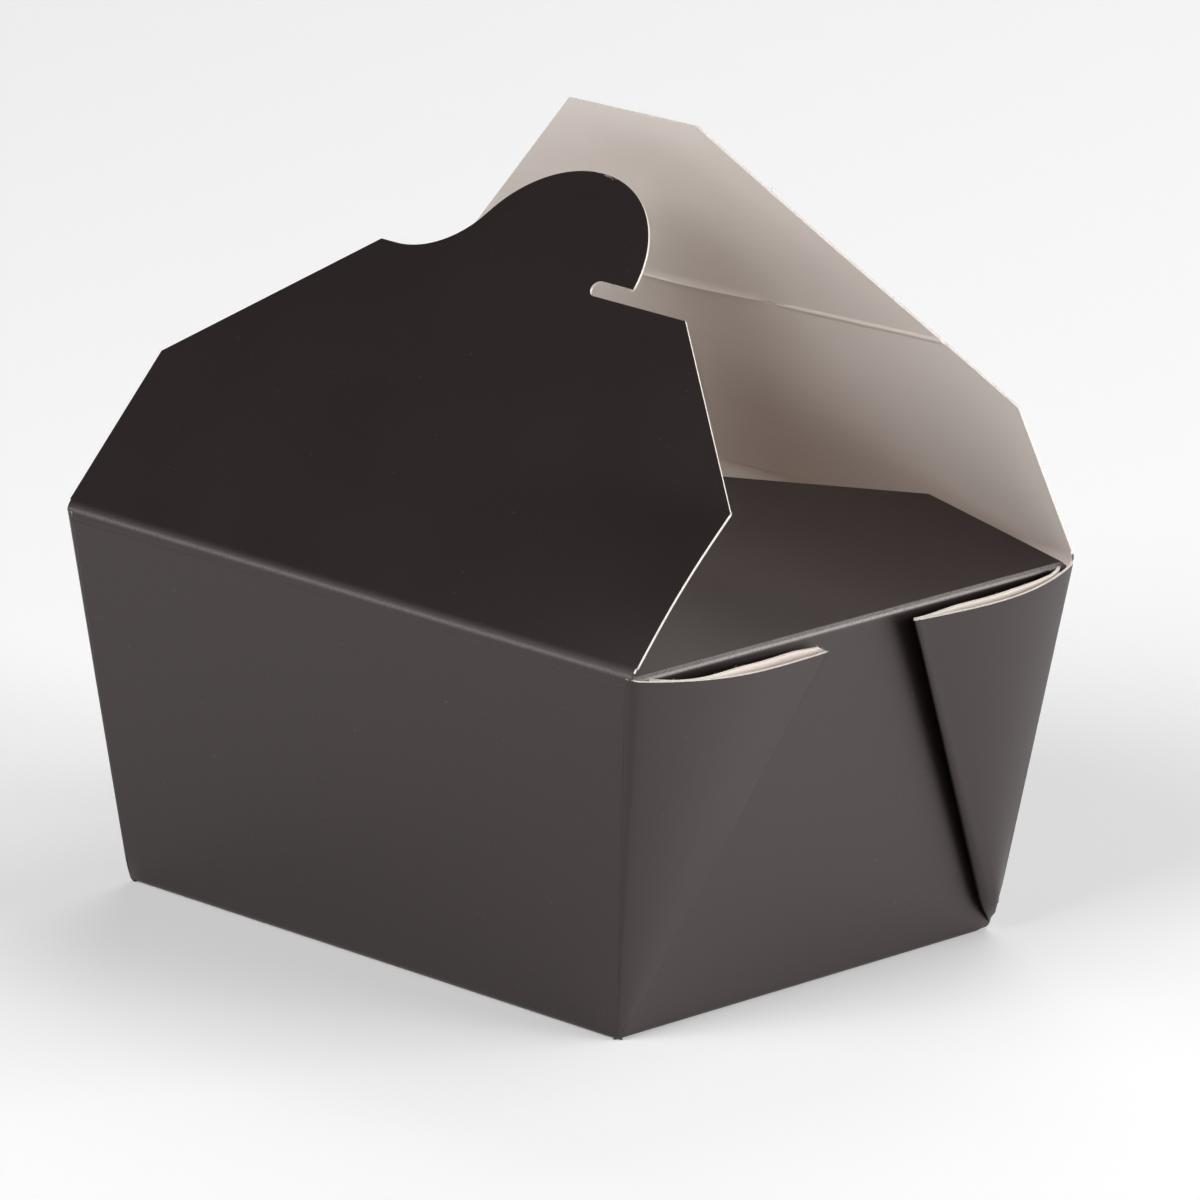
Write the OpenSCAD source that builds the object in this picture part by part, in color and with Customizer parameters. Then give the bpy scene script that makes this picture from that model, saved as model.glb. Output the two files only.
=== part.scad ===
// Folding takeaway box of coated board, folded from one sheet: a tapered tray with double webs
// folded flat outside its ends, two end flaps, and two lid flaps that lock with a hook and a slit.
// Millimetres, Z up, origin at the middle of the base on the surface the box stands on.
// X runs along the long sides; the flap with the hook is on the -Y side.

/* [Tray] */
// Length of the tray at the rim
rim_length = 130; // [118:1:150]
// Width of the tray at the rim
rim_width = 104.5; // [94:0.5:125]
// Length of the base
base_length = 113; // [100:1:116]
// Width of the base
base_width = 89; // [76:1:92]
// Height of the rim creases of the lid flaps
height = 64; // [50:1:80]
// Thickness of the board
board = 0.45; // [0.35:0.05:0.6]
// Outer radius of a fold between two panels
fold_radius = 1.2; // [0.8:0.1:2]
// How far the end walls lie inside the ends of the long walls at the rim
web_room = 1.2; // [0.8:0.1:2]
// How far the creases of the end flaps lie below those of the lid flaps
end_crease_drop = 1.1; // [0.6:0.1:2]

/* [Webs] */
// How far the rim cut of a web falls below the rim at its fold
web_drop = 3.7; // [2:0.1:6]
// Bow of the outer ply of the front webs at the rim
front_web_bow = 3.35; // [1:0.05:5]
// Stand-off of the fold of the front webs from the end wall at the rim
front_web_tip = 3.1; // [2.2:0.1:5]
// Bow of the inner ply of the front webs at the rim
front_web_inner_bow = 1.9; // [0.5:0.1:2.2]
// Bow of the outer ply of the back webs at the rim
back_web_bow = 3.35; // [1:0.05:5]
// Stand-off of the fold of the back webs from the end wall at the rim
back_web_tip = 3.5; // [2.2:0.1:5]
// Bow of the inner ply of the back webs at the rim
back_web_inner_bow = 2.2; // [0.5:0.1:2.4]
// Angle of each back web that its bulging base corner takes up
back_web_slack = 2.1; // [0:0.1:4]
// Width of the rounded fold of a web at the rim
web_fold_width = 2.2; // [1.4:0.1:2.6]

/* [Front lid flap] */
// Rise of the front flap above its closed, level position
front_angle = 46.7; // [42:0.1:60]
// Length of the straight sides of the front flap
front_side = 31.4; // [20:0.1:40]
// Distance of the shoulders of the front flap from its crease
front_shoulder = 61.3; // [50:0.1:66]
// Length of the shoulder edge, as if the hook were not there
front_shoulder_width = 69.2; // [60:0.2:80]
// Radius of the hook
hook_radius = 19.6; // [16:0.1:22]
// Distance of the hook's centre from the middle of the flap
hook_offset = 1.4; // [0:0.1:4]
// Height of the hook's centre above the shoulders
hook_rise = 1.8; // [0:0.1:4]
// Radius of the hollow between hook and shoulder
throat_radius = 15.8; // [12:0.1:18]
// Width of the notch under the hook
notch_width = 2.9; // [1.5:0.1:4]
// Length of the notch under the hook
notch_length = 8.4; // [5:0.1:12]

/* [Back lid flap] */
// Rise of the back flap above its closed, level position, at its right side
back_rise_right = 61.9; // [56:0.1:70]
// Rise of the back flap at its left side: the board is a little twisted
back_rise_left = 56.7; // [55:0.1:70]
// Rise of the part beyond the score, at the right side
back_tip_rise_right = 60.3; // [56:0.1:70]
// Rise of the part beyond the score, at the left side
back_tip_rise_left = 63.9; // [56:0.1:70]
// Length of the straight sides of the back flap
back_side = 32; // [20:0.1:40]
// Distance of the score and slit from the crease
back_score = 43.4; // [40.5:0.1:50]
// Distance of the tip edge from the crease
back_reach = 79.8; // [70:0.1:84]
// Length of the tip edge
back_tip_width = 29; // [20:0.5:40]
// Length of the slit that takes the hook
slit_length = 32.6; // [28:0.2:38]
// Width of the slit
slit_width = 0.5; // [0.3:0.05:1]

/* [End flaps] */
// Rise of the end flaps above level
end_angle = 22; // [8:0.5:24]
// Distance of the corners of an end flap from its crease
end_corner_reach = 23.8; // [16:0.2:26]
// Distance of those corners from the side of the tray
end_corner_inset = 10.5; // [9.5:0.5:20]
// Distance of the tip edge of an end flap from its crease
end_reach = 40.3; // [32:0.1:48]
// Length of the tip edge of an end flap
end_tip_width = 14; // [6:0.5:24]

/* [Hinges] */
// Gap between the edge of a long wall and the bead of its lid flap
hinge_gap = 0.25; // [0.2:0.05:0.4]

/* [Hidden] */
$fn = 48;
black = [0.2, 0.18, 0.18];
fold_steps = 8;
ply_steps = 12;
twist_steps = 14;
bow_skew = 0.85;
bead_radius = board * 0.6;
overlap = 0.1;
tangent_lap = 0.01;
rod_start = 2 * board;
ply_start = 4 * board;
base_lap = 4 * fold_radius;
trim_depth = 20;

// Slopes of the walls
side_run = (rim_width - base_width) / 2;
end_run = rim_length / 2 - web_room - base_length / 2;
side_slant = norm([side_run, height]);
end_slant = norm([end_run, height]);

// Axes of the lid flaps
hinge_y = rim_width / 2 - board / 2;
hinge_z = height;
wall_stop = side_slant - hinge_gap - bead_radius;

// Corner of the end wall and the end flap crease
end_crease_z = height - end_crease_drop;
end_crease_x = base_length / 2 + end_run * end_crease_z / height;

// Angle of one web ply in the flat sheet, from the angles of the panels round the base corner
long_wall_corner = 90 + atan((rim_length - base_length) / 2 / side_slant);
end_wall_corner = 90 + atan(side_run / end_slant);
ply_angle = (360 - 90 - long_wall_corner - end_wall_corner) / 2;

// Right front base corner, and the directions of the end wall there
apex = [base_length / 2, -base_width / 2, 0];
wall_along = [0, 1, 0];
wall_up = [end_run, 0, height] / end_slant;
wall_out = [height, 0, -end_run] / end_slant;
rim_corner = [rim_length / 2, -rim_width / 2, height];
edge_length = norm(rim_corner - apex);
edge_start = (rim_corner - apex) / edge_length;
edge_turn = atan2(-edge_start * wall_along, edge_start * wall_up);
edge_rise = asin(edge_start * wall_out);

function unit(v) = v / norm(v);
function arc(c, r, from, turn) =
    [for (i = [0:fold_steps]) let (a = from + turn * i / fold_steps) c + r * [cos(a), sin(a)]];

// One side of a strip folded along the path v, always turning left, at a depth in the board
function strip_side(v, depth) = concat(
    [v[0] + depth * left(v, 0)],
    [for (i = [1:len(v) - 2])
        let (
            turn = acos(unit(v[i] - v[i - 1]) * unit(v[i + 1] - v[i])),
            before = left(v, i - 1),
            centre = v[i] - fold_radius * tan(turn / 2) * unit(v[i] - v[i - 1]) + fold_radius * before
        )
        each arc(centre, fold_radius - depth, atan2(-before[1], -before[0]), turn)],
    [v[len(v) - 1] + depth * left(v, len(v) - 2)]);
function left(v, i) = let (d = unit(v[i + 1] - v[i])) [-d[1], d[0]];
function reversed(v) = [for (i = [len(v) - 1:-1:0]) v[i]];

// A strip of board seen from its edge
module strip(v) {
    polygon(concat(strip_side(v, 0), reversed(strip_side(v, board))));
}

// A round bar from p to q
module rod(p, q, r1, r2) {
    d = q - p;
    translate(p)
        rotate([0, acos(d[2] / norm(d)), atan2(d[1], d[0])])
            cylinder(h = norm(d), r1 = r1, r2 = r2);
}

// Base and both long walls: a folded strip, trimmed to the slant of the wall ends
module long_walls() {
    stop = wall_stop / side_slant;
    top_y = base_width / 2 + side_run * stop;
    path = [
        [-top_y, height * stop],
        [-base_width / 2, 0],
        [base_width / 2, 0],
        [top_y, height * stop]
    ];
    intersection() {
        rotate([90, 0, 90])
            translate([0, 0, -rim_length])
                linear_extrude(2 * rim_length) strip(path);
        rotate([90, 0, 0])
            translate([0, 0, -rim_width])
                linear_extrude(2 * rim_width) polygon([
                    [-base_length / 2, 0],
                    [base_length / 2, 0],
                    [rim_length / 2, height],
                    [-rim_length / 2, height]
                ]);
    }
}

// Right end wall and its flap: a folded strip that starts in the base, trimmed to both outlines
module end_panel() {
    root = end_crease_x - fold_radius;
    along = [-cos(end_angle), sin(end_angle)];
    crease = [end_crease_x, end_crease_z];
    path = [
        [base_length / 2 - base_lap, 0],
        [base_length / 2, 0],
        crease,
        crease + end_reach * along
    ];
    intersection() {
        rotate([90, 0, 0])
            translate([0, 0, -rim_width / 2])
                linear_extrude(rim_width) strip(path);
        union() {
            end_wall_trim();
            end_flap_trim(root);
        }
    }
}

// Space that the end wall fills: between the long walls, up to its crease
module end_wall_trim() {
    inset = board / 2;
    rotate([90, 0, 90])
        linear_extrude(rim_length / 2) polygon([
            [-base_width / 2 + inset, 0],
            [base_width / 2 - inset, 0],
            [rim_width / 2 - side_run * end_crease_drop / height - inset, end_crease_z],
            [-rim_width / 2 + side_run * end_crease_drop / height + inset, end_crease_z]
        ]);
}

// Space that the end flap fills, seen from above
module end_flap_trim(root) {
    half = rim_width / 2 - board - hinge_gap - bead_radius;
    corner_x = end_crease_x - end_corner_reach * cos(end_angle);
    corner_y = rim_width / 2 - end_corner_inset;
    tip_x = end_crease_x - end_reach * cos(end_angle);
    translate([0, 0, end_crease_z - fold_radius])
        linear_extrude(height) polygon([
            [end_crease_x, -half],
            [root, -half + board],
            [corner_x, -corner_y],
            [tip_x, -end_tip_width / 2],
            [tip_x, end_tip_width / 2],
            [corner_x, corner_y],
            [root, half - board],
            [end_crease_x, half]
        ]);
}

// Direction from the base corner, turned along the end wall and lifted off it
function ray(turn, lift) =
    let (a = turn - edge_turn)
    cos(lift) * (sin(a) * wall_along + cos(a) * wall_up) + sin(lift) * wall_out;

// Lift of the outer and of the inner ply at a share t of the way to the fold
function outer_lift(t, bow, tip) =
    edge_rise + (lift_angle(tip) - edge_rise) * t + lift_angle(bow) * sin(180 * pow(t, bow_skew));
function inner_lift(t, bow, tip) =
    lift_angle(tip - web_fold_width + board / 2) * t + lift_angle(bow) * sin(180 * t);
function lift_angle(distance) = atan(distance / edge_length);

// Turn of the fold for a ply of the given flat angle, less what its bow takes up
function fold_turn(flat, bow, tip) =
    let (taken = (pow(lift_angle(tip) - edge_rise, 2) + pow(PI * lift_angle(bow), 2) / 2) / 2)
    (flat + sqrt(flat * flat - 4 * taken)) / 2;

// Distance of the rim cut from the base corner, at a flat angle from the corner edge
function cut_distance(angle, flat) =
    let (
        start = edge_length - fold_radius / 2,
        tip = (end_slant - web_drop) / cos(ply_angle - edge_turn),
        tip_point = tip * [cos(flat), sin(flat)],
        chord = tip_point - [start, 0]
    )
    start * chord[1] / (chord[1] * cos(angle) - chord[0] * sin(angle));

// A closed shell through rings of points; a ring runs up one side of the board and down the other,
// and facing points of the two sides have their surfaces split along the same diagonals
module shell(points, ring) {
    last = len(points) - ring;
    half = ring / 2;
    sides = [for (i = [0:ring:last - ring]) for (j = [0:ring - 1])
        let (a = i + j, b = i + (j + 1) % ring, c = b + ring, d = a + ring)
        each j < half ? [[a, c, b], [a, d, c]] : [[a, d, b], [d, c, b]]];
    ends = [for (j = [0:half - 2])
        let (k = ring - 1 - j)
        each [
            [j, j + 1, k - 1],
            [j, k - 1, k],
            [last + j, last + k - 1, last + j + 1],
            [last + j, last + k, last + k - 1]
        ]];
    polyhedron(points, concat(ends, sides));
}

// A thin shell one board thick between rays from the base corner, its near face at the given depth
module ply(rays, flat, depth) {
    n = len(rays) - 1;
    normals = [for (i = [0:n]) unit(cross(rays[i], rays[min(i + 1, n)] - rays[max(i - 1, 0)]))];
    points = [for (i = [0:n])
        let (cut = cut_distance(flat * i / n, flat))
        each [
            apex + ply_start * rays[i] + depth * normals[i],
            apex + ply_start * rays[i] + (depth + board) * normals[i],
            apex + cut * rays[i] + (depth + board) * normals[i],
            apex + cut * rays[i] + depth * normals[i]
        ]];
    shell(points, 4);
}

// Right front web: two plies joined by a rounded fold, laid against the end wall from the base corner
module web(bow, inner_bow, tip, slack) {
    flat = ply_angle - slack;
    turn = fold_turn(flat, bow, tip);
    fold_length = cut_distance(flat, flat) - board;
    fold_ray = ray(turn, lift_angle(tip - web_fold_width / 2));
    shares = [for (i = [0:ply_steps]) i / ply_steps];
    corner = apex + [-board / 2, board / 2, 0];
    corner_end = corner + cut_distance(0, flat) * edge_start;
    ply([for (t = shares) ray(turn * t, outer_lift(t, bow, tip))], flat, 0);
    ply([for (t = shares) ray(turn * t, inner_lift(t, inner_bow, tip))], flat, -board / 2);
    rod(apex + rod_start * fold_ray, apex + fold_length * fold_ray, bead_radius, web_fold_width / 2);
    rod(corner + rod_start * edge_start, corner_end, bead_radius, bead_radius);
}

// One end of the tray: wall, flap and two webs
module tray_end() {
    end_panel();
    web(front_web_bow, front_web_inner_bow, front_web_tip, 0);
    mirror([0, 1, 0]) web(back_web_bow, back_web_inner_bow, back_web_tip, back_web_slack);
}

// Everything that stays in one piece below the lid flaps
module carton() {
    color(black) union() {
        long_walls();
        tray_end();
        mirror([1, 0, 0]) tray_end();
    }
}

// Outline of the front flap, with its crease on the X axis
module front_outline() {
    hook = [hook_offset, front_shoulder + hook_rise];
    reach = hook_radius + throat_radius - tangent_lap;
    throat_rise = throat_radius - hook_rise;
    throat = hook + [-sqrt(reach * reach - throat_rise * throat_rise), throat_rise];
    notch_x = hook_offset + hook_radius - notch_length + notch_width / 2;
    difference() {
        union() {
            polygon([
                [-rim_length / 2, 0],
                [rim_length / 2, 0],
                [rim_length / 2, front_side],
                [front_shoulder_width / 2, front_shoulder],
                [-front_shoulder_width / 2, front_shoulder],
                [-rim_length / 2, front_side]
            ]);
            translate(hook) circle(r = hook_radius);
            difference() {
                polygon([[throat[0], front_side], throat, hook, [hook[0], front_side]]);
                translate(throat) circle(r = throat_radius);
            }
        }
        translate([notch_x, front_shoulder + notch_width / 2]) circle(r = notch_width / 2);
        translate([notch_x, front_shoulder]) square([notch_length, notch_width]);
    }
}

// Front lid flap with its hook, on the bead of its crease
module front_flap() {
    color(black) translate([0, -hinge_y, hinge_z]) {
        rotate([front_angle, 0, 0])
            translate([0, 0, -board / 2])
                linear_extrude(board) front_outline();
        lid_bead();
    }
}

// Bead along the crease of a lid flap
module lid_bead() {
    length = rim_length - 2 * overlap;
    rotate([0, 90, 0])
        translate([0, 0, -length / 2])
            cylinder(h = length, r = bead_radius);
}

// Outline of the back flap with its slit, seen square to the board
module back_outline() {
    difference() {
        polygon([
            [-rim_length / 2, -board],
            [rim_length / 2, -board],
            [rim_length / 2, back_side],
            [back_tip_width / 2, back_reach],
            [-back_tip_width / 2, back_reach],
            [-rim_length / 2, back_side]
        ]);
        translate([0, back_score]) square([slit_length, slit_width], center = true);
    }
}

// Section of the twisted back flap at a distance from the middle of its crease, bent at the score
function back_section(x) =
    let (
        share = x / rim_length + 0.5,
        rise = back_rise_left + (back_rise_right - back_rise_left) * share,
        tip_rise = back_tip_rise_left + (back_tip_rise_right - back_tip_rise_left) * share,
        score = back_score * heading(rise),
        tip = score + (back_reach + board - back_score) * heading(tip_rise),
        lift = board / 2 * heading((rise + tip_rise) / 2 + 90),
        crease_lift = board / 2 * heading(rise + 90),
        tip_lift = board / 2 * heading(tip_rise + 90)
    )
    [for (p = [-crease_lift, score - lift, tip - tip_lift, tip + tip_lift, score + lift, crease_lift])
        [x, p[0], p[1]]];
function heading(a) = [cos(a), sin(a)];

// The twisted board of the back flap before it is cut to its outline
module back_board() {
    width = rim_length + 2 * board;
    sections = [for (i = [0:twist_steps]) back_section(width * (i / twist_steps - 0.5))];
    shell([for (section = sections) each section], len(sections[0]));
}

// Back lid flap with its score and slit, on the bead of its crease
module back_flap() {
    mean_rise = (back_rise_left + back_rise_right + back_tip_rise_left + back_tip_rise_right) / 4;
    color(black) mirror([0, 1, 0]) translate([0, -hinge_y, hinge_z]) {
        intersection() {
            back_board();
            rotate([mean_rise, 0, 0])
                translate([0, 0, -trim_depth / 2])
                    linear_extrude(trim_depth) back_outline();
        }
        lid_bead();
    }
}

carton();
front_flap();
back_flap();
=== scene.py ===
"""The folded takeaway box of coated board: its looks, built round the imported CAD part."""

import math
import random

import bmesh
import bpy
from mathutils import Matrix, Vector


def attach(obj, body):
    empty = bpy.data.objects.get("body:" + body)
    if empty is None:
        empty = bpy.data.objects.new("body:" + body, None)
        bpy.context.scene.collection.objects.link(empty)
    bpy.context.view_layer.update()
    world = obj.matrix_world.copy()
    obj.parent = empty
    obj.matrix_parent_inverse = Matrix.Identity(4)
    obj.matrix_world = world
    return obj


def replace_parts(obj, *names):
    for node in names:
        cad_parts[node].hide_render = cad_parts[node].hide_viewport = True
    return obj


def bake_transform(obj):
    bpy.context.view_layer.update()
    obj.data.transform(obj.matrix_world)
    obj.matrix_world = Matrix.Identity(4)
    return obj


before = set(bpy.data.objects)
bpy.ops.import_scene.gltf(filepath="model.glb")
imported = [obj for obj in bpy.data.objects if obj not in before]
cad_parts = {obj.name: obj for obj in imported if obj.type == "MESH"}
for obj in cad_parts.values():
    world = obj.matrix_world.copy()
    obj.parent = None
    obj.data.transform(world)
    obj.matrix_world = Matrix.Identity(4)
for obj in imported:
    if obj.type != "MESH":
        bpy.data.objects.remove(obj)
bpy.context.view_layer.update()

MM = 0.001

# Sizes in millimetres, in the frame of the CAD part
RIM_LENGTH, RIM_WIDTH = 130.0, 104.5
BASE_LENGTH, BASE_WIDTH = 113.0, 89.0
HEIGHT = 64.0
BOARD = 0.45
FOLD_RADIUS = 1.2
WEB_ROOM = 1.2           # room at each end of the rim for the plies of the webs
END_CREASE_DROP = 1.1    # the end creases lie this far below the rim
HINGE_Y = RIM_WIDTH / 2 - BOARD / 2
HINGE_Z = HEIGHT

SIDE_RUN = (RIM_WIDTH - BASE_WIDTH) / 2
END_RUN = RIM_LENGTH / 2 - WEB_ROOM - BASE_LENGTH / 2
SIDE_SLANT = math.hypot(SIDE_RUN, HEIGHT)
END_SLANT = math.hypot(END_RUN, HEIGHT)
END_CREASE_Z = HEIGHT - END_CREASE_DROP
END_CREASE_X = BASE_LENGTH / 2 + END_RUN * END_CREASE_Z / HEIGHT
# How far the bend below the end wall reaches into the base
BASE_BEND = FOLD_RADIUS * math.tan(math.radians(45) - math.atan(END_RUN / HEIGHT) / 2)

# Lid flaps: distances are from the crease
FRONT_ANGLE = 46.7
FRONT_SIDE, FRONT_SHOULDER, SHOULDER_WIDTH = 31.4, 61.3, 69.2
FRONT_BOW = 0.8          # the right side of the front flap bows this far outwards
BOW_START, BOW_RUN = 10.0, 55.0
HOOK_RADIUS, HOOK_OFFSET, HOOK_RISE = 19.6, 1.4, 1.8
THROAT_RADIUS = 15.8
NOTCH_WIDTH, NOTCH_LENGTH = 2.9, 8.4
BACK_SIDE, BACK_SCORE, BACK_REACH, BACK_TIP_WIDTH = 32.0, 43.4, 80.0, 29.0
SLIT_LENGTH, SLIT_GAP = 32.6, 0.12

# The back flap is twisted: values at its right end, and how much they grow per millimetre of x
BACK_RISE, BACK_TWIST = 61.92, 0.040
SCORE_BEND, SCORE_TWIST = 1.64, 0.068
RIM_TILT = 0.010
SCORE_RIDGE, RIDGE_WIDTH = 0.20, 0.3
SLIT_LIP, LIP_FADE = 1.0, 0.8

# End flaps
END_ANGLE = 22.0
END_CORNER_REACH, END_CORNER_INSET = 23.8, 10.5
END_REACH, END_TIP_WIDTH = 40.3, 14.0
END_FLAP_ROOM = 0.25     # between the sides of an end flap and the long walls

# Crease strips between tray and lid flaps: their reach on each side of the crease, and how their ends are drawn in
CREASE_REACH = 1.6
STRIP_INSET, STRIP_TAPER = 0.25, 1.1

# Steps of the meshes
GUARD = 0.35             # the narrow step that keeps a panel flat up to its fold
PANEL_STEP = 3.2
PANEL_SQUARE = 2.5       # squares of the lid flaps, with their columns on each side of the middle and their rows
SQUARE_COLUMNS, SQUARE_ROWS = 25, 40
FOLD_STEPS = 6
TRAY_STEPS, END_STEPS, CREASE_STEPS = 36, 30, 40
STRIP_STEPS = 12
WEB_ROWS, WEB_CROWDING = 26, 1.15
CORNER_STEPS, OUTER_STEPS, NOSE_STEPS, INNER_STEPS = 6, 22, 9, 20

# Colours of the board
BLACK_LOW, BLACK_HIGH, BLACK_CLOUD = (0.0052, 0.0012, 0.0014), (0.0128, 0.0048, 0.0050), (0.0125, 0.0052, 0.0052)
BLACK_TINT = (1.0, 0.90, 0.885, 1)
# SPECK is for pale specks; the second colour is pale rubbed board, which also paints highlights on the end creases
# and the front webs' folds.
SPECK, WORN_AND_HIGHLIGHT = (0.20, 0.17, 0.16), (0.36, 0.33, 0.31)
SILVER_LOW, SILVER_HIGH, SILVER_STREAK = (0.88, 0.80, 0.745), (0.91, 0.83, 0.775), (0.86, 0.775, 0.715)
CUT_LOW, CUT_HIGH = (0.62, 0.55, 0.48), (0.90, 0.86, 0.81)

# Faces of a sheet: their material slots
OUTER, INNER, CUT = 0, 1, 2
CUT_SHARP = 30           # degrees from which a corner of the cut edge is sharp


# ---------------------------------------------------------------- materials

def node_material(name):
    made = bpy.data.materials.new(name)
    made.use_nodes = True
    nodes, links = made.node_tree.nodes, made.node_tree.links
    nodes.clear()
    shader = nodes.new("ShaderNodeBsdfPrincipled")
    out = nodes.new("ShaderNodeOutputMaterial")
    links.new(shader.outputs["BSDF"], out.inputs["Surface"])
    coords = nodes.new("ShaderNodeTexCoord").outputs["Object"]
    return made, nodes, links, shader, coords


def noise_value(nodes, links, coords, scale, detail=2.0, stretch=None, rough=0.5):
    source = coords
    if stretch:
        mapping = nodes.new("ShaderNodeMapping")
        mapping.inputs["Scale"].default_value = stretch
        links.new(coords, mapping.inputs["Vector"])
        source = mapping.outputs["Vector"]
    tex = nodes.new("ShaderNodeTexNoise")
    tex.inputs["Scale"].default_value = scale
    tex.inputs["Detail"].default_value = detail
    tex.inputs["Roughness"].default_value = rough
    links.new(source, tex.inputs["Vector"])
    return tex.outputs["Fac"]


def ramp(nodes, links, value, low, high, to_low=0.0, to_high=1.0):
    mapped = nodes.new("ShaderNodeMapRange")
    mapped.inputs["From Min"].default_value = low
    mapped.inputs["From Max"].default_value = high
    mapped.inputs["To Min"].default_value = to_low
    mapped.inputs["To Max"].default_value = to_high
    links.new(value, mapped.inputs["Value"])
    return mapped.outputs["Result"]


def mixed(nodes, links, factor, first, second):
    mix = nodes.new("ShaderNodeMix")
    mix.data_type = "RGBA"
    links.new(factor, mix.inputs["Factor"])
    for socket, value in ((mix.inputs["A"], first), (mix.inputs["B"], second)):
        if isinstance(value, tuple):
            socket.default_value = (*value, 1)
        else:
            links.new(value, socket)
    return mix.outputs["Result"]


def calculated(nodes, links, operation, a, b):
    math_node = nodes.new("ShaderNodeMath")
    math_node.operation = operation
    for socket, value in zip(math_node.inputs, (a, b)):
        if isinstance(value, (int, float)):
            socket.default_value = value
        else:
            links.new(value, socket)
    return math_node.outputs["Value"]


def bumped(nodes, links, shader, height, strength, distance):
    bump = nodes.new("ShaderNodeBump")
    bump.inputs["Strength"].default_value = strength
    bump.inputs["Distance"].default_value = distance
    links.new(height, bump.inputs["Height"])
    links.new(bump.outputs["Normal"], shader.inputs["Normal"])


def black_board():
    """Coated black outside: fine mottle, rare pale specks, and pale board where a crease has rubbed through, a colour
    that also paints highlights on the end creases and the front webs' folds.
    """
    made, nodes, links, shader, coords = node_material("board_black")
    mottle = noise_value(nodes, links, coords, 2600, detail=3)
    cloud = noise_value(nodes, links, coords, 45, detail=3)
    grain = noise_value(nodes, links, coords, 900, detail=2, stretch=(1, 1, 0.25))
    colour = mixed(nodes, links, ramp(nodes, links, mottle, 0.3, 0.7), BLACK_LOW, BLACK_HIGH)
    colour = mixed(nodes, links, ramp(nodes, links, cloud, 0.35, 0.7, 0.0, 0.25), colour, BLACK_CLOUD)
    specks = noise_value(nodes, links, coords, 1900, detail=0)
    colour = mixed(nodes, links, ramp(nodes, links, specks, 0.875, 0.89, 0.0, 0.35), colour, SPECK)
    # This attribute gives pale rubbed board on the creases, and a painted highlight along the end creases and the
    # front webs' folds.
    wear_and_highlight = nodes.new("ShaderNodeAttribute")
    wear_and_highlight.attribute_name = "wear_and_highlight"
    fibres = noise_value(nodes, links, coords, 3200, detail=3, rough=0.7)
    torn = ramp(nodes, links, fibres, 0.30, 0.52)
    worn_and_highlight_amount = calculated(nodes, links, "MULTIPLY", wear_and_highlight.outputs["Fac"], torn)
    colour = mixed(nodes, links, worn_and_highlight_amount, colour, WORN_AND_HIGHLIGHT)
    links.new(colour, shader.inputs["Base Color"])
    links.new(ramp(nodes, links, cloud, 0.3, 0.7, 0.425, 0.445), shader.inputs["Roughness"])
    shader.inputs["IOR"].default_value = 1.64
    shader.inputs["Specular Tint"].default_value = BLACK_TINT
    height = calculated(nodes, links, "ADD", calculated(nodes, links, "MULTIPLY", mottle, 0.5), grain)
    bumped(nodes, links, shader, height, 0.18, 0.00004)
    return made


def silver_lining():
    """Silver-grey inside: a smooth satin film with faint rolling lines."""
    made, nodes, links, shader, coords = node_material("board_silver")
    cloud = noise_value(nodes, links, coords, 38, detail=3)
    fine = noise_value(nodes, links, coords, 1800, detail=2)
    streak = noise_value(nodes, links, coords, 240, detail=2, stretch=(0.12, 1, 1))
    colour = mixed(nodes, links, ramp(nodes, links, cloud, 0.3, 0.7), SILVER_LOW, SILVER_HIGH)
    lines = ramp(nodes, links, streak, 0.3, 0.75, 0.0, 0.35)
    colour = mixed(nodes, links, lines, colour, SILVER_STREAK)
    links.new(colour, shader.inputs["Base Color"])
    shader.inputs["Metallic"].default_value = 0.1
    links.new(ramp(nodes, links, fine, 0.3, 0.7, 0.6, 0.66), shader.inputs["Roughness"])
    bumped(nodes, links, shader, calculated(nodes, links, "ADD", streak, fine), 0.12, 0.00004)
    return made


def cut_edge():
    """Raw cut of the board: cream fibres in thin layers."""
    made, nodes, links, shader, coords = node_material("board_cut_edge")
    fibres = noise_value(nodes, links, coords, 2400, detail=4, rough=0.7)
    colour = mixed(nodes, links, ramp(nodes, links, fibres, 0.3, 0.7), CUT_LOW, CUT_HIGH)
    links.new(colour, shader.inputs["Base Color"])
    shader.inputs["Roughness"].default_value = 0.85
    bumped(nodes, links, shader, fibres, 0.5, 0.0001)
    return made


# ---------------------------------------------------------------- board meshes

def flattened(grid):
    return grid and [value for row in grid for value in row]


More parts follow.
